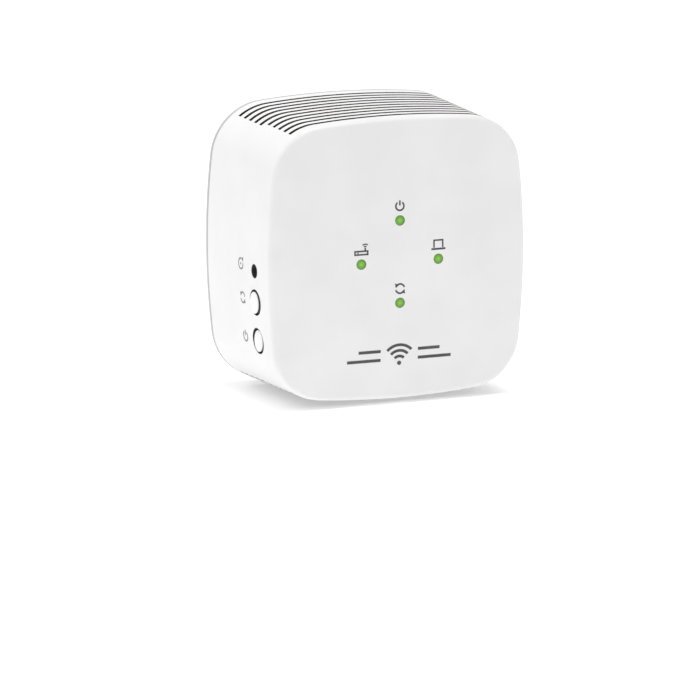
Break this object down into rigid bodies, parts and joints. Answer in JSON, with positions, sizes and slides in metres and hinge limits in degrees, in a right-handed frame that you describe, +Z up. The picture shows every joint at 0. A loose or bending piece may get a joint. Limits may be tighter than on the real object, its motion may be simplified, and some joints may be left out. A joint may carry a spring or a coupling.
{
  "type": "wifi range extender",
  "caption": "Plug-in wifi range extender: a white crowned square case with vent slots, a diamond of green indicators, side push buttons and flat plug blades on its back.",
  "frame": {"origin": "midway between the two plug blades, on the flat face of the blade carrier that rests against the outlet", "axes": "+Y into the wall along the blades, the face looks along -Y, +Z up, +X to the right seen from the front, buttons on the -X side"},
  "size_m": [0.0698, 0.0587, 0.0714],
  "materials": {
    "white_case": "satin white ABS/PC moulding with a very fine grain",
    "white_button": "satin white ABS button cap",
    "clear_pipe": "clear polycarbonate light pipes lit green by the indicators",
    "led_body": "milky epoxy indicator package",
    "label_film": "matt silver-grey polyester film, blank",
    "carrier_plastic": "matt white PBT insulator",
    "nickel_plate": "nickel plate, softly polished",
    "brass_strip": "bare brass strip",
    "zinc_steel": "zinc plated steel",
    "aluminium_sink": "extruded aluminium, plain",
    "green_board": "glass epoxy board with green solder mask",
    "tan_board": "paper phenolic board, bare tan",
    "chip_black": "black moulded epoxy",
    "switch_black": "black nylon moulding",
    "thermal_pad": "soft grey-blue silicone pad",
    "sheet_black": "black insulating film",
    "ferrite_grey": "dark grey sintered ferrite",
    "tape_yellow": "yellow polyester tape over the winding",
    "capacitor_sleeve": "shrunk vinyl sleeve, dark blue-black",
    "ceramic_blue": "blue epoxy-dipped ceramic",
    "ceramic_white": "white ceramic tube",
    "coax_jacket": "black FEP jacket",
    "printed_ink": "pad-printed grey ink",
    "solder_tin": "tin solder and plated pads",
    "copper_wire": "enamelled copper wire",
    "ceramic_tan": "tan chip capacitors and black chip resistors"
  },
  "bodies": {
    "case": {"antenna_lead_left": "coax_jacket", "antenna_lead_right": "coax_jacket", "antenna_left": "green_board", "antenna_right": "green_board", "blade_carrier": "carrier_plastic", "blade_left": "nickel_plate", "blade_right": "nickel_plate", "board_header": "switch_black", "board_screw_1": "zinc_steel", "board_screw_2": "zinc_steel", "bridge_rectifier": "chip_black", "bulk_capacitor_1": "capacitor_sleeve", "bulk_capacitor_2": "capacitor_sleeve", "case_screw_lower_left": "zinc_steel", "case_screw_lower_right": "zinc_steel", "case_screw_upper_left": "zinc_steel", "case_screw_upper_right": "zinc_steel", "contact_strip_left": "brass_strip", "contact_strip_right": "brass_strip", "crystal": "zinc_steel", "flash_chip": "chip_black", "front_housing": "white_case", "fuse": "ceramic_white", "heat_sink": "aluminium_sink", "insulating_sheet": "sheet_black", "light_guide": "clear_pipe", "line_choke": "ferrite_grey", "main_board": "green_board", "memory_chip": "chip_black", "optocoupler": "chip_black", "output_capacitor": "capacitor_sleeve", "power_board": "tan_board", "power_switch_body": "switch_black", "processor": "chip_black", "radio_chip": "chip_black", "radio_shield": "nickel_plate", "rating_label": "label_film", "rear_cover": "white_case", "reset_switch_body": "switch_black", "safety_capacitor": "ceramic_blue", "status_led_bottom": "led_body", "status_led_left": "led_body", "status_led_right": "led_body", "status_led_top": "led_body", "thermal_pad": "thermal_pad", "transformer_bobbin": "switch_black", "transformer_core": "ferrite_grey", "transformer_winding": "tape_yellow", "varistor": "ceramic_blue", "wps_switch_body": "switch_black"},
    "wps_button": {"wps_button": "white_button"},
    "wps_plunger": {"wps_switch_plunger": "switch_black"},
    "power_button": {"power_button": "white_button"},
    "power_plunger": {"power_switch_plunger": "switch_black"},
    "reset_plunger": {"reset_switch_plunger": "switch_black"}
  },
  "joints": [
    {"name": "wps_press", "type": "slide", "parent": "case", "child": "wps_button", "axis": [1, 0, 0], "range_m": [0, 0.0004], "stiffness_N_per_m": 3000, "springref_m": -0.0002},
    {"name": "wps_switch_press", "type": "slide", "parent": "case", "child": "wps_plunger", "axis": [1, 0, 0], "range_m": [0, 0.0004]},
    {"name": "power_press", "type": "slide", "parent": "case", "child": "power_button", "axis": [1, 0, 0], "range_m": [0, 0.0016], "stiffness_N_per_m": 1200, "springref_m": -0.0006},
    {"name": "power_switch_press", "type": "slide", "parent": "case", "child": "power_plunger", "axis": [1, 0, 0], "range_m": [0, 0.0016]},
    {"name": "reset_press", "type": "slide", "parent": "case", "child": "reset_plunger", "axis": [1, 0, 0], "range_m": [0, 0.0003], "stiffness_N_per_m": 3500, "springref_m": -0.0002}
  ],
  "couplings": [
    {"joint": "wps_switch_press", "follows": "wps_press", "ratio": 1},
    {"joint": "power_switch_press", "follows": "power_press", "ratio": 1}
  ]
}
